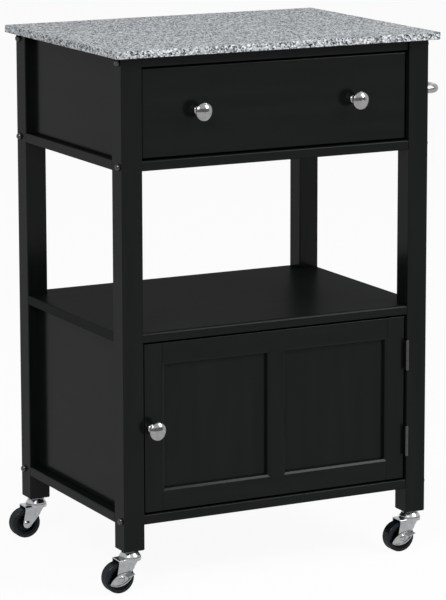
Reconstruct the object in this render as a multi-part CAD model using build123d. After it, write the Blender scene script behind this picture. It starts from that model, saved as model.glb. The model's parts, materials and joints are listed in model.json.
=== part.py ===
from build123d import *
import os
from math import acos, asin, atan2, cos, hypot, sin, sqrt

# A rolling kitchen cart in millimetres. +Z is up, the front faces -Y and the origin is on the floor
# under the middle of the worktop. "side" is -1 on the left and 1 on the right, "end" is -1 in front
# and 1 at the rear.

# Legs
frame_width = 554.0  # across the legs' outer faces
frame_depth = 404.0
leg_side = 36.0
leg_edge_radius = 1.6
leg_foot_chamfer = 1.5

# Worktop
worktop_height = 870.0
worktop_thickness = 12.0
worktop_side_overhang = 14.0
worktop_end_overhang = 16.0
worktop_corner_radius = 4.0
worktop_arris_radius = 1.2

# Rails, boards and panels
board_thickness = 16.0
bottom_board_lift = 57.0  # top face above the legs' undersides
cabinet_height = 279.0
drawer_opening = 147.0
board_setback = 1.5  # front and rear edges behind the legs' faces
board_edge_radius = 2.5
deck_nose_radius = 5.0
side_rail_width = 25.0
top_rail_height = 17.0
top_rail_depth = 30.0
top_rail_setback = 3.5
panel_thickness = 8.0
panel_arris = 1.0
case_panel_setback = 12.5
cabinet_panel_setback = 17.0
back_panel_thickness = 5.0
back_panel_setback = 19.0
groove_depth = 6.0

# Dome bolts and the barrel nuts that they pull into
bolt_radius = 3.0
bolt_hole_clearance = 0.2
bolt_reach = 34.0  # past the leg, into the rail or board
bolt_offset = 6.5  # outwards from the leg's middle
dome_radius = 5.8
dome_height = 6.0
dome_rim = 1.0
nut_radius = 5.0
nut_length = 12.0
nut_inset = 24.0  # from the end of the rail or board
nut_thread_clearance = 0.05

# Drawer
drawer_gap = 2.5
drawer_setback = 7.0
drawer_front_thickness = 18.0
drawer_front_arris = 2.5
drawer_wall = 12.0
drawer_rear_gap = 15.0
drawer_side_height = 100.0
drawer_lift = 12.0  # underside of the drawer box above the case floor
drawer_bottom_thickness = 4.0
drawer_bottom_lift = 10.0
drawer_groove = 5.0

# Drawer runners
slide_space = 12.5  # between a leg and the drawer's side
runner_height = 36.0
runner_depth = 10.0
runner_sheet = 1.2
runner_lift = 21.0  # above the underside of the drawer box
runner_setback = 1.0  # behind the drawer front
runner_rear_inset = 6.0
slide_play = 0.3
cleat_margin = 5.0

# Knobs
knob_radius = 14.0
knob_projection = 30.0
knob_rim = 2.0
knob_dome = 5.0
knob_neck_radius = 4.0
knob_foot_radius = 6.5
knob_foot_thickness = 1.6
knob_screw_radius = 2.0
knob_screw_bite = 12.0
knob_screw_clearance = 0.1
screw_head_radius = 4.2
screw_head_thickness = 2.4
drawer_knob_spacing = 282.0

# Door
door_gap = 2.5
hinge_gap = 3.0
door_thickness = 18.0
door_setback = 4.0
door_arris = 1.5
frame_face = 32.5  # flat width of stiles and rails
mullion_face = 26.0
sticking_width = 5.5
sticking_depth = 8.0
bevel_width = 3.5  # the flatter, outer part of the sticking
bevel_depth = 2.0
door_panel_thickness = 5.0
door_panel_play = 0.5
door_knob_inset = 12.5
joint_line = 0.5  # half the width of the fine line where stile and rail meet

# Hinges
hinge_height = 50.0
hinge_spacing = 145.0
hinge_barrel_radius = 3.0
hinge_pin_radius = 1.6
hinge_pin_play = 0.05
hinge_pin_cap = 1.4
hinge_leaf = 1.2
hinge_leaf_reach = 24.0
hinge_stand_off = 3.0  # axis in front of the legs' faces
knuckle_count = 3
knuckle_play = 0.3

# Magnet catch and strike plate
catch_length = 30.0
catch_ear = 9.0
catch_ear_thickness = 3.0
catch_ear_hole_radius = 1.8
catch_depth = 14.0
catch_height = 13.0
catch_inset = 40.0  # from the left leg
catch_pole = 1.5
catch_slot = 6.0
strike_thickness = 1.2
strike_play = 0.3
strike_margin = 2.0

# Towel bar
bar_radius = 7.5
bar_stand_off = 28.0  # axis of the rail from the legs' faces
bar_bend_radius = 15.0
bar_drop = 84.5  # axis below the worktop's underside
bar_stud_radius = 4.0
bar_stud_length = 14.0

# Casters
caster_height = 68.0  # floor to the undersides of the legs
caster_trail = 22.0
wheel_radius = 25.0
tyre_width = 20.0
tyre_thickness = 6.0
tyre_shoulder = 2.2
hub_rim = 3.5
hub_rim_inset = 1.0
hub_web = 8.0
hub_boss_radius = 8.0
hub_play = 0.3
axle_radius = 4.0
axle_play = 0.08
axle_head_radius = 5.4
axle_head_height = 2.0
fork_sheet = 2.0
fork_side_space = 1.2  # between tyre and cheek
fork_eye_radius = 7.4
fork_hood_reach = 25.0
fork_hood_drop = 6.0
fork_nose_inset = 1.5
fork_nose_clearance = 2.0  # between the tyre and the foot of the nose wall
fork_nose_rise = 15.5  # foot of the nose wall above the axle
fork_nose_radius = 11.5  # at the crown
fork_nose_foot_radius = 2.5
fork_bend_radius = 3.0
crown_radius = 18.0
crown_rim = 2.2
crown_lip = 1.2
crown_skirt = 2.0
race_radius = 17.0
race_thickness = 7.0
race_shoulder = 3.4
race_shoulder_drop = 5.0
race_gap = 0.4
collar_radius = 9.0
collar_thickness = 4.0
stem_radius = 5.0
stem_length = 42.0
stem_tip = 1.5
kingpin_play = 0.08
rivet_radius = 8.0
rivet_thickness = 2.0
rivet_gap = 0.3

# Brake levers
lever_sheet = 1.6
lever_play = 0.3
lever_length = 43.0
lever_belly = 10.0
lever_back = 8.0
lever_tilt = 21.0  # degrees, rising to the right
lever_lip = 2.4
lever_lip_width = 1.4
pedal_length = 12.0
pedal_depth = 8.0

# Shares that shape the round profiles
knob_neck_share = 0.5
knob_flare_share = 0.32
knob_flare_rise_share = 0.72
knob_rim_bulge_share = 0.25
knob_waist_share = 0.2
knob_waist_rise_share = 1.0
tyre_round_share = 0.7071

cut_overrun = 5.0

# Planes and edges that several pieces share
half_width = frame_width / 2
half_depth = frame_depth / 2
inner_x = half_width - leg_side
inner_y = half_depth - leg_side
leg_x = half_width - leg_side / 2
leg_y = half_depth - leg_side / 2
bolt_y = leg_y + bolt_offset
rail_inner_x = half_width - side_rail_width
leg_top = worktop_height - worktop_thickness
bottom_board_top = caster_height + bottom_board_lift
top_rail_bottom = leg_top - top_rail_height
deck_bottom = bottom_board_top + cabinet_height
deck_top = deck_bottom + board_thickness
case_floor_top = top_rail_bottom - drawer_opening
bar_height = leg_top - bar_drop
top_rail_axis = leg_top - top_rail_height / 2
case_floor_axis = case_floor_top - board_thickness / 2
bottom_board_axis = bottom_board_top - board_thickness / 2
bolt_levels = (top_rail_axis, case_floor_axis, bottom_board_axis)
back_y = half_depth - back_panel_setback - back_panel_thickness
sides = {"left": -1, "right": 1}
ends = {"front": -1, "rear": 1}


def block(xs, ys, zs):
    spans = [sorted(pair) for pair in (xs, ys, zs)]
    sizes = [high - low for low, high in spans]
    return Pos(*(low for low, high in spans)) * Box(*sizes, align=(Align.MIN, Align.MIN, Align.MIN))


def rod(start, direction, radius, length):
    cylinder = Cylinder(radius, length, align=(Align.CENTER, Align.CENTER, Align.MIN))
    return Plane(origin=start, z_dir=direction) * cylinder


def turned(*edges):
    # A profile of radius and height, turned about the Z axis
    return revolve(Plane.XZ * make_face(Curve() + list(edges)), Axis.Z)


def cap(radius, base, height):
    # The arc of a round crown, from its rim at that base up to the Z axis
    ball = (radius * radius + height * height) / (height * 2)
    half_angle = asin(radius / ball) / 2
    centre = base + height - ball
    middle = (ball * sin(half_angle), centre + ball * cos(half_angle))
    return ThreePointArc((radius, base), middle, (0, base + height))


def standing(shape, origin, direction):
    return Plane(origin=origin, z_dir=direction) * shape


def group(solids):
    return Compound(children=list(solids))


def edges_along(shape, axis, **at):
    # The edges parallel to an axis whose middles lie at the given coordinates
    found = shape.edges().filter_by(axis)
    for name, value in at.items():
        found = found.filter_by_position(getattr(Axis, name), value, value)
    return found


# Worktop, legs and panels


def worktop():
    half_x = half_width + worktop_side_overhang
    half_y = half_depth + worktop_end_overhang
    slab = block((-half_x, half_x), (-half_y, half_y), (leg_top, leg_top + worktop_thickness))
    slab = fillet(slab.edges().filter_by(Axis.Z), worktop_corner_radius)
    rims = slab.faces().filter_by(Axis.Z)
    return fillet(rims.edges(), worktop_arris_radius)


def side_panel(side, setback, bottom, top):
    outer = side * (half_width - setback)
    inner = outer - side * panel_thickness
    reach = inner_y + groove_depth
    panel = block((outer, inner), (-reach, reach), (bottom, top))
    return chamfer(edges_along(panel, Axis.Y, X=outer, Z=bottom), panel_arris)


def case_panel(side):
    return side_panel(side, case_panel_setback, case_floor_top, leg_top)


def cabinet_panel(side):
    return side_panel(side, cabinet_panel_setback, bottom_board_top, deck_bottom)


def back_panel(bottom, top):
    reach = inner_x + groove_depth
    return block((-reach, reach), (back_y, back_y + back_panel_thickness), (bottom, top))


def case_back():
    return back_panel(case_floor_top, top_rail_bottom)


def cabinet_back():
    return back_panel(bottom_board_top, deck_bottom)


def panel_grooves(side):
    # The tongues' full blocks, which the legs are cut by
    for setback, bottom, top in (
        (case_panel_setback, case_floor_top, leg_top),
        (cabinet_panel_setback, bottom_board_top, deck_bottom),
    ):
        outer = side * (half_width - setback)
        reach = inner_y + groove_depth
        yield block((outer, outer - side * panel_thickness), (-reach, reach), (bottom, top))
    yield case_back()
    yield cabinet_back()


def leg(side, end):
    x, y = side * leg_x, end * leg_y
    xs, ys = (side * half_width, side * inner_x), (end * half_depth, end * inner_y)
    post = block(xs, ys, (caster_height, leg_top))
    post = fillet(post.edges().filter_by(Axis.Z), leg_edge_radius)
    foot = post.faces().sort_by(Axis.Z)[0]
    post = chamfer(foot.edges(), leg_foot_chamfer)
    for groove in panel_grooves(side):
        post -= groove
    for level in bolt_levels:
        bolt_hole = (-half_width, end * bolt_y, level)
        post -= rod(bolt_hole, (1, 0, 0), bolt_radius + bolt_hole_clearance, frame_width)
    post -= rod((x, y, caster_height), (0, 0, 1), stem_radius, stem_length)
    if side == sides["right"]:
        post -= rod((half_width, y, bar_height), (-1, 0, 0), bar_stud_radius, bar_stud_length)
    return post


# Rails and boards


def bolted(piece, end, level):
    # Cuts the holes of the dome bolt and of the barrel nut at both ends of a rail or board
    for side in sides.values():
        start = (side * (inner_x + cut_overrun), end * bolt_y, level)
        hole_length = bolt_reach + cut_overrun
        piece -= rod(start, (-side, 0, 0), bolt_radius + bolt_hole_clearance, hole_length)
        pocket_foot = (side * (inner_x - nut_inset), end * bolt_y, level - nut_length / 2 - cut_overrun)
        piece -= rod(pocket_foot, (0, 0, 1), nut_radius, nut_length + cut_overrun)
    return piece


def top_rail(end):
    outer = end * (half_depth - top_rail_setback)
    rail = block((-inner_x, inner_x), (outer, outer - end * top_rail_depth), (top_rail_bottom, leg_top))
    rail = fillet(edges_along(rail, Axis.X, Y=outer, Z=top_rail_bottom), board_edge_radius)
    rail = fillet(edges_along(rail, Axis.Z, Y=outer), board_edge_radius)
    return bolted(rail, end, top_rail_axis)


def side_rail(side, top):
    outer = side * half_width
    rail = block((outer, side * rail_inner_x), (-inner_y, inner_y), (top - board_thickness, top))
    return fillet(edges_along(rail, Axis.Y, X=outer), board_edge_radius)


def notched_board(top, nose_radius):
    # A board that fills the space between the side rails and is notched round the legs
    reach = half_depth - board_setback
    heights = (top - board_thickness, top)
    board = block((-rail_inner_x, rail_inner_x), (-reach, reach), heights)
    board = fillet(edges_along(board, Axis.X, Y=-reach, Z=top), nose_radius)
    board = fillet(edges_along(board, Axis.X, Y=-reach, Z=heights[0]), board_edge_radius)
    for side in sides.values():
        for end in ends.values():
            beyond = cut_overrun + half_depth
            board -= block((side * inner_x, side * half_width), (end * inner_y, end * beyond), heights)
    return board


def bolted_board(top):
    board = notched_board(top, board_edge_radius)
    for end in ends.values():
        board = bolted(board, end, top - board_thickness / 2)
    return board


def dome_bolt(side, end, level):
    shank_end = -leg_side - bolt_reach
    crown = cap(dome_radius, dome_rim, dome_height - dome_rim)
    outline = Polyline(
        (0, dome_height),
        (0, shank_end),
        (bolt_radius, shank_end),
        (bolt_radius, 0),
        (dome_radius, 0),
        (dome_radius, dome_rim),
    )
    return standing(turned(outline, crown), (side * half_width, end * bolt_y, level), (side, 0, 0))


def barrel_nut(side, end, level):
    x, y = side * (inner_x - nut_inset), end * bolt_y
    nut = rod((x, y, level - nut_length / 2), (0, 0, 1), nut_radius, nut_length)
    bore_start = (x - nut_radius - cut_overrun, y, level)
    bore_length = (nut_radius + cut_overrun) * 2
    return nut - rod(bore_start, (1, 0, 0), bolt_radius + nut_thread_clearance, bore_length)


def at_bolts(make):
    legs = [(side, end) for side in sides.values() for end in ends.values()]
    return group(make(side, end, level) for side, end in legs for level in bolt_levels)


# Towel bar


def towel_bar():
    x = half_width + bar_stand_off
    corners = [(half_width, -leg_y), (x, -leg_y), (x, leg_y), (half_width, leg_y)]
    path = FilletPolyline(*((*corner, bar_height) for corner in corners), radius=bar_bend_radius)
    section = Plane(origin=path @ 0, z_dir=path % 0) * Circle(bar_radius)
    bar = sweep(section, path=path)
    for end in ends.values():
        bar += rod((half_width, end * leg_y, bar_height), (-1, 0, 0), bar_stud_radius, bar_stud_length)
    return bar


# Knobs


def knob(origin):
    # A flat mushroom head on a waisted neck, with its foot on the face and its screw from behind
    rim_back = knob_projection - knob_dome - knob_rim
    neck_top = knob_foot_thickness + (rim_back - knob_foot_thickness) * knob_neck_share
    flare = ThreePointArc(
        (knob_neck_radius, neck_top),
        (
            knob_neck_radius + (knob_radius - knob_neck_radius) * knob_flare_share,
            neck_top + (rim_back - neck_top) * knob_flare_rise_share,
        ),
        (knob_radius, rim_back),
    )
    rim = ThreePointArc(
        (knob_radius, rim_back),
        (knob_radius + knob_rim * knob_rim_bulge_share, rim_back + knob_rim / 2),
        (knob_radius, rim_back + knob_rim),
    )
    crown = cap(knob_radius, rim_back + knob_rim, knob_dome)
    waist = ThreePointArc(
        (knob_foot_radius, knob_foot_thickness),
        (
            knob_neck_radius + (knob_foot_radius - knob_neck_radius) * knob_waist_share,
            knob_foot_thickness + (knob_foot_radius - knob_neck_radius) * knob_waist_rise_share,
        ),
        (knob_neck_radius, neck_top),
    )
    foot_edge = (knob_foot_radius, knob_foot_thickness)
    foot = Polyline((0, knob_projection), (0, 0), (knob_foot_radius, 0), foot_edge)
    solid = turned(foot, waist, flare, rim, crown)
    solid -= rod((0, 0, 0), (0, 0, 1), knob_screw_radius, knob_screw_bite)
    return standing(solid, origin, (0, -1, 0))


def knob_screw(origin, thickness):
    # From behind a front of that thickness, into the knob's foot
    behind = (origin[0], origin[1] + thickness, origin[2])
    shank = rod(behind, (0, -1, 0), knob_screw_radius, thickness + knob_screw_bite)
    return shank + rod(behind, (0, 1, 0), screw_head_radius, screw_head_thickness)


def knob_hole(origin, thickness):
    start = (origin[0], origin[1] - cut_overrun, origin[2])
    return rod(start, (0, 1, 0), knob_screw_radius + knob_screw_clearance, thickness + cut_overrun * 2)


# Drawer

drawer_face_y = -half_depth + drawer_setback
drawer_back_y = drawer_face_y + drawer_front_thickness
drawer_half_width = inner_x - slide_space
drawer_inner_x = drawer_half_width - drawer_wall
drawer_rear_y = back_y - drawer_rear_gap
drawer_low = case_floor_top + drawer_lift
drawer_high = drawer_low + drawer_side_height
drawer_bottom_low = drawer_low + drawer_bottom_lift
drawer_bottom_high = drawer_bottom_low + drawer_bottom_thickness
drawer_knob_z = (case_floor_top + top_rail_bottom) / 2
drawer_knob_xs = [side * drawer_knob_spacing / 2 for side in sides.values()]
drawer_knob_points = [(x, drawer_face_y, drawer_knob_z) for x in drawer_knob_xs]
runner_low = drawer_low + runner_lift
runner_high = runner_low + runner_height
runner_front_y = drawer_back_y + runner_setback
runner_rear_y = back_y - runner_rear_inset


def drawer_bottom():
    reach = drawer_inner_x + drawer_groove
    ys = (drawer_back_y - drawer_groove, drawer_rear_y)
    return block((-reach, reach), ys, (drawer_bottom_low, drawer_bottom_high))


def drawer_front():
    reach = inner_x - drawer_gap
    heights = (case_floor_top + drawer_gap, top_rail_bottom - drawer_gap)
    front = block((-reach, reach), (drawer_face_y, drawer_back_y), heights)
    front = fillet(front.faces().sort_by(Axis.Y)[0].edges(), drawer_front_arris)
    for point in drawer_knob_points:
        front -= knob_hole(point, drawer_front_thickness)
    return front - drawer_bottom()


def drawer_side(side):
    xs = (side * drawer_half_width, side * drawer_inner_x)
    wall = block(xs, (drawer_back_y, drawer_rear_y), (drawer_low, drawer_high))
    return wall - drawer_bottom()


def drawer_back():
    ys = (drawer_rear_y - drawer_wall, drawer_rear_y)
    return block((-drawer_inner_x, drawer_inner_x), ys, (drawer_bottom_high, drawer_high))


def drawer_knobs():
    screws = [knob_screw(point, drawer_front_thickness) for point in drawer_knob_points]
    return group([knob(point) for point in drawer_knob_points] + screws)


def channel(side, web_x, depth, low, high, ys):
    # A steel channel whose web stands at web_x and whose flanges reach that depth from it
    web = block((web_x, web_x + side * runner_sheet), ys, (low, high))
    lower = block((web_x, web_x + side * depth), ys, (low, low + runner_sheet))
    upper = block((web_x, web_x + side * depth), ys, (high - runner_sheet, high))
    return web + lower + upper


def drawer_runner(side):
    ys = (runner_front_y, runner_rear_y)
    return channel(-side, side * inner_x, runner_depth, runner_low, runner_high, ys)


def drawer_slide(side):
    # Nests in the runner with a little play above and below
    play = runner_sheet + slide_play
    ys = (runner_front_y, drawer_rear_y)
    low, high = runner_low + play, runner_high - play
    return channel(side, side * drawer_half_width, runner_depth, low, high, ys)


def runner_cleat(side):
    xs = (side * (half_width - case_panel_setback - panel_thickness), side * inner_x)
    return block(xs, (-inner_y, inner_y), (runner_low - cleat_margin, runner_high + cleat_margin))


# Door

door_left = -inner_x + door_gap
door_right = inner_x - hinge_gap
door_low = bottom_board_top + door_gap
door_high = deck_bottom - door_gap
door_face_y = -half_depth + door_setback
door_back_y = door_face_y + door_thickness
door_mid_x = (door_left + door_right) / 2
door_mid_z = (door_low + door_high) / 2
member = frame_face + sticking_width
half_mullion = mullion_face / 2
panel_face_y = door_face_y + sticking_depth
panel_ys = (panel_face_y, panel_face_y + door_panel_thickness)
door_windows = (
    (door_left + member, door_mid_x - half_mullion - sticking_width),
    (door_mid_x + half_mullion + sticking_width, door_right - member),
)
window_zs = (door_low + member, door_high - member)
door_knob_point = (door_left + door_knob_inset, door_face_y, door_mid_z)


def grown(span, amount):
    return span[0] - amount, span[1] + amount


def window_face(xs, depth, margin):
    # A window's outline, grown by a margin, at that depth behind the door's face
    (left, right), (low, high) = grown(xs, margin), grown(window_zs, margin)
    centre = ((left + right) / 2, door_face_y + depth, (low + high) / 2)
    plane = Plane(origin=centre, x_dir=(1, 0, 0), z_dir=(0, -1, 0))
    return (plane * Rectangle(right - left, high - low)).face()


def sticking(xs):
    # The moulding that runs round a window of the door's frame: a flat bevel, then a steep one
    mouth = window_face(xs, 0, sticking_width)
    ridge = window_face(xs, bevel_depth, sticking_width - bevel_width)
    return loft([mouth, ridge]) + loft([ridge, window_face(xs, sticking_depth, 0)])


def joint_groove(x, zs):
    # The fine line where a rail butts against a stile
    mouth, tip = door_face_y - joint_line, (x, door_face_y + joint_line)
    notch = Polyline((x - joint_line * 2, mouth), (x + joint_line * 2, mouth), tip, close=True)
    return Pos(0, 0, zs[0]) * extrude(make_face(notch), amount=zs[1] - zs[0])


def door_frame():
    blank = block((door_left, door_right), (door_face_y, door_back_y), (door_low, door_high))
    blank = fillet(blank.faces().sort_by(Axis.Y)[0].edges(), door_arris)
    for x in (door_left + frame_face, door_right - frame_face):
        for zs in ((door_low, door_low + frame_face), (door_high - frame_face, door_high)):
            blank -= joint_groove(x, zs)
    for xs in door_windows:
        blank -= sticking(xs)
        blank -= block(xs, (door_face_y, door_back_y), window_zs)
        blank -= block(grown(xs, groove_depth), panel_ys, grown(window_zs, groove_depth))
    return blank - knob_hole(door_knob_point, door_thickness)


def framed(frame, *corners):
    # The piece of the door's frame inside an outline seen from the front
    outline = make_face(Plane.XZ * Polyline(*corners, close=True))
    prism = extrude(outline, amount=half_depth, both=True)
    return frame & Pos(0, door_face_y, 0) * prism


def door_stile(frame, edge, face):
    # Mitred only across the bevel, so that the rails butt against its flat
    bevel = face + (sticking_width if face > edge else -sticking_width)
    low, high = door_low + frame_face, door_high - frame_face
    low_bevel, high_bevel = low + sticking_width, high - sticking_width
    return framed(
        frame,
        (edge, door_low),
        (face, door_low),
        (face, low),
        (bevel, low_bevel),
        (bevel, high_bevel),
        (face, high),
        (face, door_high),
        (edge, door_high),
    )


def door_rail(frame, edge, face):
    bevel = face + (sticking_width if face > edge else -sticking_width)
    outline = [(door_left + frame_face, edge), (door_left + frame_face, face)]
    for low, high in door_windows:
        outline += [(low, bevel), (high, bevel)]
        outline += [(high + sticking_width, face)]
        if high < door_mid_x:
            outline += [(door_mid_x + half_mullion, face)]
    outline += [(door_right - frame_face, edge)]
    return framed(frame, *outline)


def door_mullion(frame):
    low, high = door_low + frame_face, door_high - frame_face
    low_bevel, high_bevel = low + sticking_width, high - sticking_width
    left, right = door_mid_x - half_mullion, door_mid_x + half_mullion
    return framed(
        frame,
        (left, low),
        (right, low),
        (right + sticking_width, low_bevel),
        (right + sticking_width, high_bevel),
        (right, high),
        (left, high),
        (left - sticking_width, high_bevel),
        (left - sticking_width, low_bevel),
    )


def door_panel(xs):
    reach = groove_depth - door_panel_play
    return block(grown(xs, reach), panel_ys, grown(window_zs, reach))


def door_knob():
    return group([knob(door_knob_point), knob_screw(door_knob_point, door_thickness)])


# Hinges

hinge_x = inner_x - hinge_gap / 2
hinge_y = -half_depth - hinge_stand_off
hinge_levels = [door_mid_z - hinge_spacing / 2, door_mid_z + hinge_spacing / 2]
knuckle = hinge_height / knuckle_count


def hinge_leaf_piece(level, xs, low_knuckles):
    # A leaf with knuckles over the stretches given as thirds of its height
    low = level - hinge_height / 2
    clear = hinge_barrel_radius + knuckle_play
    piece = block(xs, (hinge_y + clear, hinge_y + hinge_leaf_reach), (low, low + hinge_height))
    for start, stop in low_knuckles:
        zs = (low + knuckle * start + knuckle_play / 2, low + knuckle * stop - knuckle_play / 2)
        piece += block(xs, (hinge_y, hinge_y + clear), zs)
        piece += rod((hinge_x, hinge_y, zs[0]), (0, 0, 1), hinge_barrel_radius, zs[1] - zs[0])
    bore_foot = (hinge_x, hinge_y, low - cut_overrun)
    bore_radius = hinge_pin_radius + hinge_pin_play
    return piece - rod(bore_foot, (0, 0, 1), bore_radius, hinge_height + cut_overrun * 2)


def hinge_frame_leaves():
    xs = (inner_x - hinge_leaf, inner_x)
    return group(hinge_leaf_piece(level, xs, ((0, 1), (2, 3))) for level in hinge_levels)


def hinge_door_leaves():
    xs = (door_right, door_right + hinge_leaf)
    return group(hinge_leaf_piece(level, xs, ((1, 2),)) for level in hinge_levels)


def hinge_pin(level):
    half = hinge_height / 2
    shank = Polyline(
        (0, half + hinge_pin_cap),
        (0, -half),
        (hinge_pin_radius, -half),
        (hinge_pin_radius, half),
        (hinge_barrel_radius, half),
    )
    return Pos(hinge_x, hinge_y, level) * turned(shank, cap(hinge_barrel_radius, half, hinge_pin_cap))


# Magnet catch

catch_x = -inner_x + catch_inset
catch_face_y = door_back_y + strike_thickness + strike_play


def magnet_catch():
    half = catch_length / 2
    xs = (catch_x - half, catch_x + half)
    ys = (catch_face_y + catch_pole, catch_face_y + catch_depth)
    body = block(xs, ys, (deck_bottom - catch_height, deck_bottom))
    body += block(grown(xs, catch_ear), ys, (deck_bottom - catch_ear_thickness, deck_bottom))
    for side in sides.values():
        ear_x = catch_x + side * (half + catch_ear / 2)
        hole_foot = (ear_x, (ys[0] + ys[1]) / 2, deck_bottom - catch_ear_thickness - cut_overrun)
        body -= rod(hole_foot, (0, 0, 1), catch_ear_hole_radius, catch_ear_thickness + cut_overrun * 2)
    middle = deck_bottom - catch_height / 2
    for level in (middle - catch_slot / 2, middle + catch_slot / 2):
        pole_zs = (level - catch_pole / 2, level + catch_pole / 2)
        body += block(grown(xs, -catch_pole), (catch_face_y, ys[0]), pole_zs)
    return body


def strike_plate():
    half = catch_length / 2 + strike_margin
    middle = deck_bottom - catch_height / 2
    reach = catch_slot / 2 + strike_margin
    ys = (door_back_y, door_back_y + strike_thickness)
    return block((catch_x - half, catch_x + half), ys, (middle - reach, middle + reach))


# Casters. Each is made with its swivel axis on Z and its wheel trailing towards -X.

race_bottom = caster_height - collar_thickness - race_thickness
lip_top = race_bottom - race_gap
crown_top = lip_top - crown_lip
crown_bottom = crown_top - fork_sheet
fork_inner = tyre_width / 2 + fork_side_space
fork_outer = fork_inner + fork_sheet
axle_x = -caster_trail
axle_z = wheel_radius
nose_top_x = crown_radius - fork_nose_inset
nose_foot_x = axle_x + sqrt((wheel_radius + fork_nose_clearance) ** 2 - fork_nose_rise**2) + fork_sheet
nose_foot_z = axle_z + fork_nose_rise
lever_stack = lever_sheet + lever_play * 2


def at_leg(shape, side, end):
    return Pos(side * leg_x, end * leg_y, 0) * shape


def caster_stem():
    # Stem, collar, upper race and the riveted kingpin, all turned in one
    top = caster_height + stem_length
    race_top = caster_height - collar_thickness
    rivet_top = crown_bottom - rivet_gap
    outline = Polyline(
        (0, top),
        (stem_radius - stem_tip, top),
        (stem_radius, top - stem_tip),
        (stem_radius, caster_height),
        (collar_radius, caster_height),
        (collar_radius, race_top),
        (race_radius - race_shoulder, race_top),
        (race_radius, race_top - race_shoulder_drop),
        (race_radius, race_bottom),
        (stem_radius, race_bottom),
        (stem_radius, rivet_top),
        (rivet_radius, rivet_top),
        (rivet_radius, rivet_top - rivet_thickness / 2),
        (stem_radius, rivet_top - rivet_thickness),
        (0, rivet_top - rivet_thickness),
        (0, top),
    )
    return turned(outline)


def fork_crown():
    # The pressed disc that carries the lower race
    bore = stem_radius + kingpin_play
    inner = crown_radius - crown_rim
    outline = Polyline(
        (bore, crown_bottom),
        (inner, crown_bottom),
        (inner, crown_bottom - crown_skirt),
        (crown_radius, crown_bottom - crown_skirt),
        (crown_radius, lip_top),
        (inner, lip_top),
        (inner, crown_top),
        (bore, crown_top),
        (bore, crown_bottom),
    )
    return turned(outline)


def eye_tangent(point, turn):
    # Where a line from that point touches the round end of a cheek
    away_x, away_z = point[0] - axle_x, point[1] - axle_z
    angle = atan2(away_z, away_x) + turn * acos(fork_eye_radius / hypot(away_x, away_z))
    return axle_x + fork_eye_radius * cos(angle), axle_z + fork_eye_radius * sin(angle)


def nose_x(level):
    # The line of the nose wall in side view
    return nose_foot_x + (level - nose_foot_z) * (nose_top_x - nose_foot_x) / (crown_top - nose_foot_z)


def fork_outline(inset, top):
    # Side view of the fork: hood over the wheel and cheeks that taper to the axle's eye
    nose_foot = (nose_foot_x - inset, nose_foot_z)
    tail = (-fork_hood_reach, crown_top - fork_hood_drop)
    return Polyline(
        (-fork_hood_reach, top),
        (nose_x(top) - inset, top),
        nose_foot,
        eye_tangent(nose_foot, -1),
        eye_tangent(tail, 1),
        tail,
        (-fork_hood_reach, top),
    )


def nose_section(level, inset, half, radius):
    # Plan of the fork at a level, with its two front corners rounded
    back, front = -fork_hood_reach * 2, nose_x(level) - inset
    plan = Pos((front + back) / 2, 0) * Rectangle(front - back, half * 2)
    plan = fillet(plan.vertices().group_by(Axis.X)[-1], radius)
    return (Plane.XY.offset(level) * plan).face()


def nose_corners(inset, half, top):
    # What the rounding of the nose takes off: little at its foot, most at the crown
    foot = nose_section(nose_foot_z, inset, half, fork_nose_foot_radius - inset)
    head = nose_section(top, inset, half, fork_nose_radius - inset)
    around = block((-fork_hood_reach * 2, crown_radius * 2), (-half * 2, half * 2), (nose_foot_z, top))
    return around - loft([foot, head], ruled=True)


def fork():
    shell = extrude(make_face(Plane.XZ * fork_outline(0, crown_top)), amount=fork_outer, both=True)
    shell = fillet(edges_along(shell, Axis.X, Z=crown_top), fork_bend_radius)
    shell -= nose_corners(0, fork_outer, crown_top)
    hollow = make_face(Plane.XZ * fork_outline(fork_sheet, crown_bottom))
    cavity = extrude(hollow, amount=fork_inner, both=True)
    cavity -= nose_corners(fork_sheet, fork_inner, crown_bottom)
    below = (axle_z - fork_eye_radius * 2, nose_foot_z)
    mouth = block((-fork_hood_reach * 2, crown_radius * 2), (-fork_inner, fork_inner), below)
    tail = block((-fork_hood_reach * 2, axle_x), (-fork_inner, fork_inner), (axle_z, crown_bottom))
    shell -= cavity + mouth + tail
    for cheek in (-1, 1):
        ys = (cheek * fork_inner, cheek * fork_outer)
        eye = rod((axle_x, ys[0], axle_z), (0, cheek, 0), fork_eye_radius, fork_sheet)
        shell += eye
    shell += fork_crown()
    shell -= rod((0, 0, 0), (0, 0, 1), stem_radius + kingpin_play, caster_height)
    return shell - rod((axle_x, -fork_outer, axle_z), (0, 1, 0), axle_radius, fork_outer * 2)


def axle(front_stack):
    # A rivet through both cheeks and, in front, through what is stacked on the cheek
    front, rear = -fork_outer - front_stack, fork_outer
    pin = rod((axle_x, front, axle_z), (0, 1, 0), axle_radius, rear - front)
    head = turned(
        Polyline((0, axle_head_height), (0, 0), (axle_head_radius, 0)),
        cap(axle_head_radius, 0, axle_head_height),
    )
    pin += standing(head, (axle_x, front, axle_z), (0, -1, 0))
    return pin + standing(head, (axle_x, rear, axle_z), (0, 1, 0))


def on_axle(shape):
    return standing(shape, (axle_x, 0, axle_z), (0, 1, 0))


def wheel():
    bore = axle_radius + axle_play
    boss = fork_inner - hub_play
    rim_outer = wheel_radius - tyre_thickness
    rim_inner = rim_outer - hub_rim
    rim = tyre_width / 2 - hub_rim_inset
    web = hub_web / 2
    outline = Polyline(
        (bore, -boss),
        (hub_boss_radius, -boss),
        (hub_boss_radius, -web),
        (rim_inner, -web),
        (rim_inner, -rim),
        (rim_outer, -rim),
        (rim_outer, rim),
        (rim_inner, rim),
        (rim_inner, web),
        (hub_boss_radius, web),
        (hub_boss_radius, boss),
        (bore, boss),
        (bore, -boss),
    )
    return on_axle(turned(outline))


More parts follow.
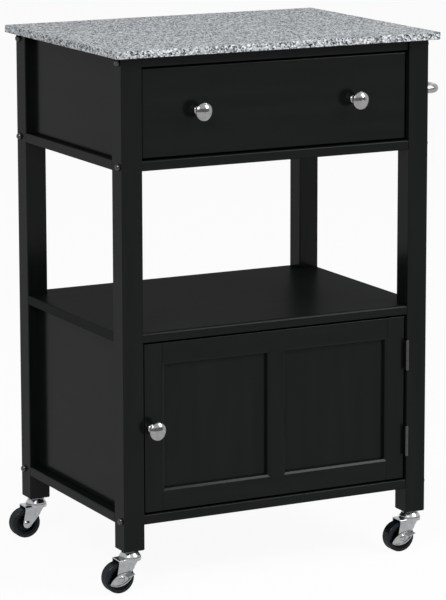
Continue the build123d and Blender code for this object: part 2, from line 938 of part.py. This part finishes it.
def tyre():
    half = tyre_width / 2
    inner = wheel_radius - tyre_thickness
    shoulder = wheel_radius - tyre_shoulder
    bulge = tyre_shoulder * (1 - tyre_round_share)
    band = Line((wheel_radius, -half + tyre_shoulder), (wheel_radius, half - tyre_shoulder))
    rear = ThreePointArc(
        (wheel_radius, half - tyre_shoulder), (wheel_radius - bulge, half - bulge), (shoulder, half)
    )
    front = ThreePointArc(
        (shoulder, -half), (wheel_radius - bulge, -half + bulge), (wheel_radius, -half + tyre_shoulder)
    )
    rest = Polyline((shoulder, half), (inner, half), (inner, -half), (shoulder, -half))
    return on_axle(turned(band, rear, rest, front))


def leaf(belly, back):
    half = lever_length / 2
    lower = ThreePointArc((-half, 0), (0, -belly), (half, 0))
    upper = ThreePointArc((half, 0), (0, back), (-half, 0))
    return make_face(lower + upper)


def brake_lever():
    # A leaf-shaped plate on the axle with a lip along its belly and a pedal bent out at its tip
    origin = (axle_x, -fork_outer - lever_play, axle_z)
    plane = Plane(origin=origin, x_dir=(1, 0, 0), z_dir=(0, -1, 0))
    tilt = Rot(0, 0, lever_tilt)
    outline = leaf(lever_belly, lever_back)
    plate = extrude(plane * (tilt * outline), amount=lever_sheet)
    crescent = outline - Pos(0, lever_lip_width) * outline
    lip = extrude(plane * (tilt * crescent), amount=lever_sheet + lever_lip)
    half = lever_length / 2
    tread = Pos(half - pedal_length / 2, 0) * Rectangle(pedal_length, lever_sheet)
    pedal = extrude(plane * (tilt * tread), amount=lever_sheet + pedal_depth)
    hole = extrude(plane * Circle(axle_radius + axle_play), amount=fork_outer, both=True)
    return plate + lip + pedal - hole


def cart():
    nodes = {"worktop": worktop(), "towel_bar": towel_bar()}
    for side_name, side in sides.items():
        for end_name, end in ends.items():
            nodes[f"leg_{end_name}_{side_name}"] = leg(side, end)
    for end_name, end in ends.items():
        nodes[f"top_rail_{end_name}"] = top_rail(end)
    both = sides.values()
    nodes["case_side_rails"] = group(side_rail(side, case_floor_top) for side in both)
    nodes["deck_side_rails"] = group(side_rail(side, deck_top) for side in both)
    nodes["bottom_side_rails"] = group(side_rail(side, bottom_board_top) for side in both)
    nodes["case_side_panels"] = group(case_panel(side) for side in both)
    nodes["cabinet_side_panels"] = group(cabinet_panel(side) for side in both)
    nodes["case_back_panel"] = case_back()
    nodes["cabinet_back_panel"] = cabinet_back()
    nodes["case_floor_board"] = bolted_board(case_floor_top)
    nodes["deck_board"] = notched_board(deck_top, deck_nose_radius)
    nodes["bottom_board"] = bolted_board(bottom_board_top)
    nodes["dome_bolts"] = at_bolts(dome_bolt)
    nodes["barrel_nuts"] = at_bolts(barrel_nut)

    nodes["runner_cleats"] = group(runner_cleat(side) for side in both)
    nodes["drawer_runners"] = group(drawer_runner(side) for side in both)
    nodes["drawer_slides"] = group(drawer_slide(side) for side in both)
    nodes["drawer_front"] = drawer_front()
    for side_name, side in sides.items():
        nodes[f"drawer_side_{side_name}"] = drawer_side(side)
    nodes["drawer_back"] = drawer_back()
    nodes["drawer_bottom"] = drawer_bottom()
    nodes["drawer_knobs"] = drawer_knobs()

    frame = door_frame()
    nodes["door_stile_latch"] = door_stile(frame, door_left, door_left + frame_face)
    nodes["door_stile_hinge"] = door_stile(frame, door_right, door_right - frame_face)
    nodes["door_rail_top"] = door_rail(frame, door_high, door_high - frame_face)
    nodes["door_rail_bottom"] = door_rail(frame, door_low, door_low + frame_face)
    nodes["door_mullion"] = door_mullion(frame)
    nodes["door_panels"] = group(door_panel(xs) for xs in door_windows)
    nodes["door_knob"] = door_knob()
    nodes["hinge_frame_leaves"] = hinge_frame_leaves()
    nodes["hinge_door_leaves"] = hinge_door_leaves()
    nodes["hinge_pins"] = group(hinge_pin(level) for level in hinge_levels)
    nodes["magnet_catch"] = magnet_catch()
    nodes["strike_plate"] = strike_plate()

    corners = [(f"{e}_{s}", sides[s], ends[e]) for e in ends for s in sides]
    stem, fork_shape, wheel_shape, tyre_shape = caster_stem(), fork(), wheel(), tyre()
    lever = brake_lever()
    nodes["caster_stems"] = group(at_leg(stem, side, end) for name, side, end in corners)
    for name, side, end in corners:
        braked = end == ends["front"]
        nodes[f"fork_{name}"] = at_leg(fork_shape, side, end)
        nodes[f"axle_{name}"] = at_leg(axle(lever_stack if braked else 0), side, end)
        nodes[f"wheel_{name}"] = at_leg(wheel_shape, side, end)
        nodes[f"tyre_{name}"] = at_leg(tyre_shape, side, end)
        if braked:
            nodes[f"brake_lever_{name}"] = at_leg(lever, side, end)
    return nodes


os.makedirs("parts", exist_ok=True)
for node, shape in cart().items():
    export_step(shape, f"parts/{node}.step")
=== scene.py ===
import json
import math

import bmesh
import bpy
from mathutils import Matrix, Vector


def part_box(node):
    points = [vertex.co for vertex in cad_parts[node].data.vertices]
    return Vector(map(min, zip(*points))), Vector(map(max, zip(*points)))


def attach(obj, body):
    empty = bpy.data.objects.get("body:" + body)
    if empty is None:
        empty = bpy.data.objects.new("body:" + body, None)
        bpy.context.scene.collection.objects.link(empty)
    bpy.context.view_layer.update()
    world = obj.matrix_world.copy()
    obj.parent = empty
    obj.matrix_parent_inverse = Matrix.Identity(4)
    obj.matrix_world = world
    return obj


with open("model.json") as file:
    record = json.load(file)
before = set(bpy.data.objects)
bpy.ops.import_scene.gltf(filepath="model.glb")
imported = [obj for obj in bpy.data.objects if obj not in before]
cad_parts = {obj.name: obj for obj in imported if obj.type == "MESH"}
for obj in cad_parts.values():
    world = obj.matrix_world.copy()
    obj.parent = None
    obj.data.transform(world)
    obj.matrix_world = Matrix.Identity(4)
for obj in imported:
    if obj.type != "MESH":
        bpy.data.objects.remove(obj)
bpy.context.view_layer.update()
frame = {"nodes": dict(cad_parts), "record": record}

nodes = frame["nodes"]
print("frame:", len(nodes), "nodes")

# shader helpers


def newMaterial(name):
    material = bpy.data.materials.new(name)
    material.use_nodes = True
    tree = material.node_tree
    return material, tree, tree.nodes["Principled BSDF"]


def addNode(tree, kind, inputs=None, **settings):
    node = tree.nodes.new(kind)
    for name, value in settings.items():
        setattr(node, name, value)
    for name, value in (inputs or {}).items():
        socket = node.inputs[name]
        if isinstance(value, bpy.types.NodeSocket):
            tree.links.new(value, socket)
        else:
            socket.default_value = value
    return node


def setInputs(tree, shader, **values):
    for name, value in values.items():
        socket = shader.inputs[name.replace("_", " ")]
        if isinstance(value, bpy.types.NodeSocket):
            tree.links.new(value, socket)
        else:
            socket.default_value = value


def setCoat(tree, shader, coat):  # all the gloss is the coat's
    setInputs(tree, shader, Specular_IOR_Level=0.0, Coat_Weight=coat["weight"])
    setInputs(tree, shader, Coat_IOR=coat["ior"], Coat_Roughness=coat["roughness"])


def grey(value):
    return (value, value, value, 1.0)


def stretched(tree, scale):
    place = addNode(tree, "ShaderNodeTexCoord").outputs["Object"]
    return addNode(tree, "ShaderNodeMapping", {"Vector": place, "Scale": scale}).outputs[0]


def ramp(tree, factor, stops, interpolation="LINEAR"):
    node = addNode(tree, "ShaderNodeValToRGB", {"Fac": factor})
    node.color_ramp.interpolation = interpolation
    elements = node.color_ramp.elements
    while len(elements) < len(stops):
        elements.new(1.0)
    for element, (place, colour) in zip(elements, stops):
        element.position = place
        element.color = colour
    return node.outputs["Color"]


def noise(tree, vector, scale, detail=3.0, roughness=0.5):
    inputs = {"Vector": vector, "Scale": scale, "Detail": detail, "Roughness": roughness}
    return addNode(tree, "ShaderNodeTexNoise", inputs).outputs["Fac"]


def spread(tree, factor, low, high):  # a texture's middle half, spread from low to high
    inputs = {"Value": factor, "From Min": 0.25, "From Max": 0.75, "To Min": low, "To Max": high}
    return addNode(tree, "ShaderNodeMapRange", inputs).outputs["Result"]


def bump(tree, height, strength, distance):
    inputs = {"Height": height, "Strength": strength, "Distance": distance}
    return addNode(tree, "ShaderNodeBump", inputs).outputs["Normal"]


# finishes

satinBlack = {
    "dark": (0.0036, 0.0045, 0.0043, 1.0),
    "light": (0.0054, 0.0065, 0.0062, 1.0),
    "mottleScale": 9.0,
    "strokeScale": 72.0,
    "strokeAlong": 0.5,  # the brush strokes run along the piece
    "strokeAcross": 6.0,
    "strokeBump": (0.25, 0.0001),
    "roughness": (0.42, 0.5),
    "uprights": {"weight": 0.215, "ior": 1.5, "roughness": 0.18},  # the lacquer coat
    "boards": {"weight": 0.068, "ior": 2.2, "roughness": 0.34},  # laid flat, rubbed duller
}


def makeSatinBlack(name, grainAxis, coat):
    material, tree, shader = newMaterial(name)
    scale = [satinBlack["strokeAcross"]] * 3
    scale["XYZ".index(grainAxis)] = satinBlack["strokeAlong"]
    vector = stretched(tree, scale)
    mottle = noise(tree, vector, satinBlack["mottleScale"])
    strokes = noise(tree, vector, satinBlack["strokeScale"], 2.0)
    setInputs(
        tree,
        shader,
        Base_Color=ramp(tree, mottle, [(0.3, satinBlack["dark"]), (0.7, satinBlack["light"])]),
        Roughness=spread(tree, mottle, *satinBlack["roughness"]),
        Coat_Normal=bump(tree, strokes, *satinBlack["strokeBump"]),
    )
    setCoat(tree, shader, coat)
    return material


granite = {
    "grainSize": 430.0,  # crystals per metre
    "clusterSize": 120.0,
    "crystals": [
        (0.0, (0.02, 0.021, 0.022, 1.0)),
        (0.09, (0.1, 0.104, 0.108, 1.0)),
        (0.22, (0.245, 0.257, 0.268, 1.0)),
        (0.4, (0.365, 0.382, 0.398, 1.0)),
        (0.64, (0.5, 0.522, 0.545, 1.0)),
        (0.84, (0.7, 0.73, 0.76, 1.0)),
    ],
    "clusterLean": 0.1,  # how far a cluster turns its crystals dark or light
    "ragged": 0.0012,  # how far a crystal's rim wanders
    "raggedScale": 900.0,
    "roughness": (0.2, 0.36),
    "coat": {"weight": 0.06, "ior": 2.2, "roughness": 0.12},
}


def makeGranite():
    material, tree, shader = newMaterial("granite")
    vector = stretched(tree, (1.0, 1.0, 1.0))
    inputs = {"Vector": vector, "Scale": granite["raggedScale"], "Detail": 2.0}
    wobble = addNode(tree, "ShaderNodeTexNoise", inputs)
    reach = (granite["ragged"],) * 3
    moved = addNode(
        tree,
        "ShaderNodeVectorMath",
        {0: wobble.outputs["Color"], 1: reach, 2: vector},
        operation="MULTIPLY_ADD",
    )
    crystals = addNode(
        tree,
        "ShaderNodeTexVoronoi",
        {"Vector": moved.outputs[0], "Scale": granite["grainSize"]},
    )
    split = addNode(tree, "ShaderNodeSeparateColor", {"Color": crystals.outputs["Color"]})
    clusters = noise(tree, vector, granite["clusterSize"], 2.0)
    lean = spread(tree, clusters, -granite["clusterLean"], granite["clusterLean"])
    level = addNode(tree, "ShaderNodeMath", {0: split.outputs["Red"], 1: lean}, operation="ADD")
    setInputs(
        tree,
        shader,
        Base_Color=ramp(tree, level.outputs[0], granite["crystals"], "CONSTANT"),
        Roughness=spread(tree, split.outputs["Green"], *granite["roughness"]),
    )
    setCoat(tree, shader, granite["coat"])
    return material


platedMetals = {
    "chrome": {
        "dark": (0.26, 0.26, 0.264, 1.0),
        "light": (0.34, 0.34, 0.347, 1.0),
        "roughness": (0.1, 0.15),
    },
    "zinc": {
        "dark": (0.33, 0.335, 0.34, 1.0),
        "light": (0.44, 0.445, 0.45, 1.0),
        "roughness": (0.18, 0.28),
    },
}
platingCloud = 160.0


def makePlated(name):
    look = platedMetals[name]
    material, tree, shader = newMaterial(name)
    cloud = noise(tree, stretched(tree, (1.0, 1.0, 1.0)), platingCloud)
    setInputs(
        tree,
        shader,
        Base_Color=ramp(tree, cloud, [(0.3, look["dark"]), (0.7, look["light"])]),
        Metallic=1.0,
        Roughness=spread(tree, cloud, *look["roughness"]),
    )
    return material


moulded = {
    "blackLacquer": {
        "dark": (0.003, 0.003, 0.0033, 1.0),
        "light": (0.0048, 0.0048, 0.0052, 1.0),
        "roughness": (0.3, 0.4),
        "coat": {"weight": 0.5, "ior": 2.1, "roughness": 0.17},
    },
    "hingeBlack": {
        "dark": (0.0035, 0.0035, 0.0037, 1.0),
        "light": (0.006, 0.006, 0.0063, 1.0),
        "roughness": (0.4, 0.5),
        "coat": {"weight": 0.55, "ior": 2.0, "roughness": 0.14},
    },
    "tyreRubber": {
        "dark": (0.0034, 0.0045, 0.0066, 1.0),
        "light": (0.0064, 0.0084, 0.012, 1.0),
        "roughness": (0.5, 0.6),
        "coat": {"weight": 0.15, "ior": 2.0, "roughness": 0.24},
    },
    "hubPlastic": {
        "dark": (0.0024, 0.003, 0.004, 1.0),
        "light": (0.0045, 0.0055, 0.007, 1.0),
        "roughness": (0.45, 0.55),
        "coat": {"weight": 0.07, "ior": 2.0, "roughness": 0.25},
    },
    "catchPlastic": {
        "dark": (0.014, 0.014, 0.014, 1.0),
        "light": (0.022, 0.022, 0.022, 1.0),
        "roughness": (0.5, 0.6),
        "coat": {"weight": 0.12, "ior": 2.0, "roughness": 0.4},
    },
}


mouldedSkin = {"cloud": 240.0, "bump": (0.15, 0.0002)}


def makeMoulded(name):
    look = moulded[name]
    material, tree, shader = newMaterial(name)
    cloud = noise(tree, stretched(tree, (1.0, 1.0, 1.0)), mouldedSkin["cloud"])
    setInputs(
        tree,
        shader,
        Base_Color=ramp(tree, cloud, [(0.3, look["dark"]), (0.7, look["light"])]),
        Roughness=spread(tree, cloud, *look["roughness"]),
        Normal=bump(tree, cloud, *mouldedSkin["bump"]),
    )
    setCoat(tree, shader, look["coat"])
    return material


drawerWood = {
    "dark": (0.014, 0.0125, 0.0115, 1.0),
    "light": (0.034, 0.03, 0.027, 1.0),
    "roughness": (0.5, 0.66),
    "grain": (1.2, 26.0, 26.0),
    "grainScale": 7.0,
    "grainBump": (0.3, 0.0002),
    "specular": 0.1,
}


def makeDrawerWood():
    material, tree, shader = newMaterial("drawerWood")
    grain = noise(tree, stretched(tree, drawerWood["grain"]), drawerWood["grainScale"], 6.0, 0.6)
    setInputs(
        tree,
        shader,
        Base_Color=ramp(tree, grain, [(0.32, drawerWood["dark"]), (0.68, drawerWood["light"])]),
        Roughness=spread(tree, grain, *drawerWood["roughness"]),
        Specular_IOR_Level=drawerWood["specular"],
        Normal=bump(tree, grain, *drawerWood["grainBump"]),
    )
    return material


blackAlongX = makeSatinBlack("satinBlackAcross", "X", satinBlack["uprights"])
blackAlongY = makeSatinBlack("satinBlackDeep", "Y", satinBlack["uprights"])
blackAlongZ = makeSatinBlack("satinBlackUpright", "Z", satinBlack["uprights"])
blackBoards = makeSatinBlack("satinBlackBoards", "X", satinBlack["boards"])
blackRails = makeSatinBlack("satinBlackRails", "Y", satinBlack["boards"])
finishes = {
    "granite": makeGranite(),
    "chrome": makePlated("chrome"),
    "bolt_black": makeMoulded("blackLacquer"),
    "zinc": makePlated("zinc"),
    "hinge_steel": makeMoulded("hingeBlack"),
    "drawer_wood": makeDrawerWood(),
    "catch_plastic": makeMoulded("catchPlastic"),
    "hub_plastic": makeMoulded("hubPlastic"),
    "tyre_rubber": makeMoulded("tyreRubber"),
}


def paintFor(node):
    if node.startswith(("leg_", "door_stile", "door_mullion", "door_panels")):
        return blackAlongZ
    if node in ("deck_board", "case_floor_board", "bottom_board"):
        return blackBoards
    if node == "deck_side_rails":
        return blackRails
    return blackAlongY if node.endswith("_rails") or "side_panels" in node else blackAlongX


def dress(piece, material):
    piece.data.materials.clear()
    piece.data.materials.append(material)


for subpart in frame["record"]["subparts"]:
    node, slotName = subpart["node"], subpart["material_slot"]
    dress(nodes[node], paintFor(node) if slotName == "satin_black" else finishes[slotName])
print("finishes:", len(bpy.data.materials))

# small fasteners that the solids leave out

crossScrews = {
    "sides": 28,
    "shoulderShare": 0.45,  # of the head's height
    "crownShare": 0.78,  # of the head's radius
    "armShare": 0.5,  # reach of the cross recess
    "slotShare": 0.13,  # half its width
    "recessShare": 0.8,  # of the head's height
}


def addScrewHead(mesh, place, outward, radius, height):
    look = crossScrews
    stand = Matrix.Translation(place) @ Vector(outward).to_track_quat("Z", "Y").to_matrix().to_4x4()

    def ring(points, level):
        return [mesh.verts.new(stand @ Vector((x, y, level))) for x, y in points]

    def circle(size):
        turns = [math.tau * step / look["sides"] for step in range(look["sides"])]
        return [(math.cos(turn) * size, math.sin(turn) * size) for turn in turns]

    def bridge(lower, upper):
        for step in range(len(lower)):
            after = (step + 1) % len(lower)
            mesh.faces.new((lower[step], lower[after], upper[after], upper[step]))

    arm, slot = radius * look["armShare"], radius * look["slotShare"]
    quarter = [(arm, -slot), (arm, slot), (slot, slot)]
    cross = []
    for turn in range(4):
        cos, sin = (1, 0, -1, 0)[turn], (0, 1, 0, -1)[turn]
        cross += [(x * cos - y * sin, x * sin + y * cos) for x, y in quarter]
    foot = ring(circle(radius), 0.0)
    shoulder = ring(circle(radius), height * look["shoulderShare"])
    crown = ring(circle(radius * look["crownShare"]), height)
    mouth = ring(cross, height)
    floor = ring(cross, height * (1.0 - look["recessShare"]))
    bridge(foot, shoulder)
    bridge(shoulder, crown)
    bridge(floor, mouth)
    rims = []
    for loop in (crown, mouth):
        for step in range(len(loop)):
            pair = (loop[step], loop[(step + 1) % len(loop)])
            rims.append(mesh.edges.get(pair) or mesh.edges.new(pair))
    bmesh.ops.triangle_fill(mesh, edges=rims, use_beauty=True)
    mesh.faces.new(floor)


def addScrews(name, body, slotName, places, outward, radius, height):
    mesh = bmesh.new()
    for place in places:
        addScrewHead(mesh, Vector(place), outward, radius, height)
    bmesh.ops.recalc_face_normals(mesh, faces=mesh.faces)
    data = bpy.data.meshes.new(name)
    mesh.to_mesh(data)
    mesh.free()
    piece = bpy.data.objects.new(name, data)
    bpy.context.scene.collection.objects.link(piece)
    dress(piece, finishes[slotName])
    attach(piece, body)


hingeScrews = {
    "leafHeight": 0.05,
    "leafThickness": 0.0012,
    "levels": (0.14, 0.5, 0.86),  # shares of the leaf's height
    "fromFront": (0.0125, 0.0205),
    "head": (0.0026, 0.00022),
}


def addHingeScrews(node, body, wood, side):  # the leaf lies on the wood's face, the heads on the leaf
    low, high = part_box(node)
    face = wood + side * hingeScrews["leafThickness"]
    places = []
    for foot in (low[2], high[2] - hingeScrews["leafHeight"]):
        for row, share in enumerate(hingeScrews["levels"]):
            depth = low[1] + hingeScrews["fromFront"][row % 2]
            places.append((face, depth, foot + hingeScrews["leafHeight"] * share))
    addScrews(node + ".screws", body, "hinge_steel", places, (side, 0, 0), *hingeScrews["head"])


addHingeScrews("hinge_frame_leaves", "frame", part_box("leg_front_right")[0][0], -1)
addHingeScrews("hinge_door_leaves", "door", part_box("door_stile_hinge")[1][0], 1)

slideScrews = {"head": (0.0034, 0.0009), "ends": 0.035, "sheet": 0.0012}


def addSlideScrews(node, body, turned):
    low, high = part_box(node)
    level = (low[2] + high[2]) / 2
    depths = (low[1] + slideScrews["ends"], (low[1] + high[1]) / 2, high[1] - slideScrews["ends"])
    for side, name in ((-1, "left"), (1, "right")):
        if turned > 0:  # heads on the slide's web, towards the leg
            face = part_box(f"drawer_side_{name}")[side > 0][0] + side * slideScrews["sheet"]
        else:  # heads on the runner's web, towards the drawer
            face = (low[0] if side < 0 else high[0]) - side * slideScrews["sheet"]
        places = [(face, depth, level) for depth in depths]
        outward = (side * turned, 0, 0)
        addScrews(f"{node}.screws.{name}", body, "zinc", places, outward, *slideScrews["head"])


addSlideScrews("drawer_runners", "frame", -1)
addSlideScrews("drawer_slides", "drawer", 1)

catchScrews = {"inset": 0.0045, "earThickness": 0.003, "poles": 0.0015, "head": (0.0031, 0.0012)}
low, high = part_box("magnet_catch")
middle = (low[1] + catchScrews["poles"] + high[1]) / 2  # the poles stand out in front of the body
under = high[2] - catchScrews["earThickness"]
places = [(x, middle, under) for x in (low[0] + catchScrews["inset"], high[0] - catchScrews["inset"])]
addScrews("magnet_catch.screws", "frame", "zinc", places, (0, 0, -1), *catchScrews["head"])

strikeScrews = {"inset": 0.006, "head": (0.0021, 0.00018)}
low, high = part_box("strike_plate")
level = (low[2] + high[2]) / 2
places = [(x, high[1], level) for x in (low[0] + strikeScrews["inset"], high[0] - strikeScrews["inset"])]
addScrews("strike_plate.screws", "door", "zinc", places, (0, 1, 0), *strikeScrews["head"])

# floor, light and camera

studio = {
    "floorSize": 40.0,
    "floorColour": (0.86, 0.86, 0.86, 1.0),
    "floorGlow": 0.94,  # how much of the floor is plain white to the eye, the rest keeps the shadow
    "fill": 0.38,
    "curtain": {"distance": 12.0, "size": (40.0, 6.0), "colour": (0.8, 0.79, 0.77, 1.0)},
}
lamps = {
    "key": {"place": (1.9, -2.1, 2.4), "aim": (0.0, -0.1, 0.5), "size": (1.3, 1.3), "power": 50.0},
    "fillLeft": {"place": (-1.9, -1.9, 2.4), "aim": (0.0, 0.0, 0.45), "size": (1.15, 1.15), "power": 54.0},
    "overhead": {"place": (1.4, -0.7, 3.0), "aim": (0.0, 0.0, 0.5), "size": (0.8, 0.8), "power": 12.0},
}


def seenRays(tree, *kinds):  # 1 for the kinds of ray that are named
    path = addNode(tree, "ShaderNodeLightPath")
    seen = path.outputs[f"Is {kinds[0]} Ray"]
    for kind in kinds[1:]:
        inputs = {0: seen, 1: path.outputs[f"Is {kind} Ray"]}
        seen = addNode(tree, "ShaderNodeMath", inputs, operation="MAXIMUM").outputs[0]
    return seen


def makeFloor():
    bpy.ops.mesh.primitive_plane_add(size=studio["floorSize"])
    floor = bpy.context.object
    floor.name = "floor"
    material, tree, shader = newMaterial("paleFloor")
    setInputs(tree, shader, Base_Color=studio["floorColour"], Roughness=0.9, Specular_IOR_Level=0.0)
    glow = addNode(tree, "ShaderNodeEmission", {"Color": grey(1.0), "Strength": 1.0})
    share = addNode(
        tree,
        "ShaderNodeMath",
        {0: seenRays(tree, "Camera", "Glossy", "Transmission"), 1: studio["floorGlow"]},
        operation="MULTIPLY",
    )
    inputs = {0: share.outputs[0], 1: shader.outputs[0], 2: glow.outputs[0]}
    mix = addNode(tree, "ShaderNodeMixShader", inputs)
    tree.links.new(mix.outputs[0], tree.nodes["Material Output"].inputs["Surface"])
    dress(floor, material)


def makeCurtain():  # hangs far behind the camera, where the chrome mirrors it as a dark band
    look = studio["curtain"]
    wide, high = look["size"]
    bpy.ops.mesh.primitive_plane_add(size=1.0)
    curtain = bpy.context.object
    curtain.name = "curtain"
    curtain.scale = (wide, high, 1.0)
    curtain.rotation_euler = (math.pi / 2, 0.0, 0.0)
    curtain.location = (0.0, -look["distance"], high / 2)
    material, tree, shader = newMaterial("greyCurtain")
    setInputs(tree, shader, Base_Color=look["colour"], Roughness=0.9, Specular_IOR_Level=0.0)
    dress(curtain, material)


def makeWorld():
    world = bpy.data.worlds.new("studioWorld")
    bpy.context.scene.world = world
    world.use_nodes = True
    tree = world.node_tree
    output = tree.nodes["World Output"].inputs["Surface"]
    white = tree.nodes["Background"]
    white.inputs["Color"].default_value = grey(1.0)
    white.inputs["Strength"].default_value = 1.0
    fill = addNode(tree, "ShaderNodeBackground", {"Color": grey(1.0), "Strength": studio["fill"]})
    rays = seenRays(tree, "Camera", "Glossy", "Transmission")
    seen = addNode(tree, "ShaderNodeMixShader", {0: rays, 1: fill.outputs[0], 2: white.outputs[0]})
    tree.links.new(seen.outputs[0], output)


def makeLamp(name, look):
    data = bpy.data.lights.new(name, "AREA")
    data.shape = "RECTANGLE"
    data.size, data.size_y = look["size"]
    data.energy = look["power"]
    lamp = bpy.data.objects.new(name, data)
    bpy.context.scene.collection.objects.link(lamp)
    lamp.location = look["place"]
    lamp.rotation_euler = (Vector(look["aim"]) - lamp.location).to_track_quat("-Z", "Y").to_euler()


view = {
    "target": (0.0045, 0.0, 0.5506),
    "distance": 5.115,
    "azimuth": -27.348,
    "elevation": 9.895,
    "roll": -0.109,
    "lens": 185.05,
    "shift": -0.1333,
}


def makeCamera():
    azimuth, elevation, roll = (math.radians(view[name]) for name in ("azimuth", "elevation", "roll"))
    back = Vector(
        (
            math.sin(azimuth) * math.cos(elevation),
            -math.cos(azimuth) * math.cos(elevation),
            math.sin(elevation),
        )
    )
    level = Vector((math.cos(azimuth), math.sin(azimuth), 0.0))
    upright = back.cross(level)
    right = level * math.cos(roll) + upright * math.sin(roll)
    up = upright * math.cos(roll) - level * math.sin(roll)
    data = bpy.data.cameras.new("camera")
    data.lens = view["lens"]
    data.shift_y = view["shift"]
    camera = bpy.data.objects.new("camera", data)
    bpy.context.scene.collection.objects.link(camera)
    turn = Matrix((right, up, back)).transposed().to_4x4()
    camera.matrix_world = Matrix.Translation(Vector(view["target"]) + back * view["distance"]) @ turn
    bpy.context.scene.camera = camera


makeFloor()
makeCurtain()
makeWorld()
for name, look in lamps.items():
    makeLamp(name, look)
makeCamera()
bpy.context.scene.view_settings.view_transform = "Standard"
print("studio:", len(lamps), "lamps")
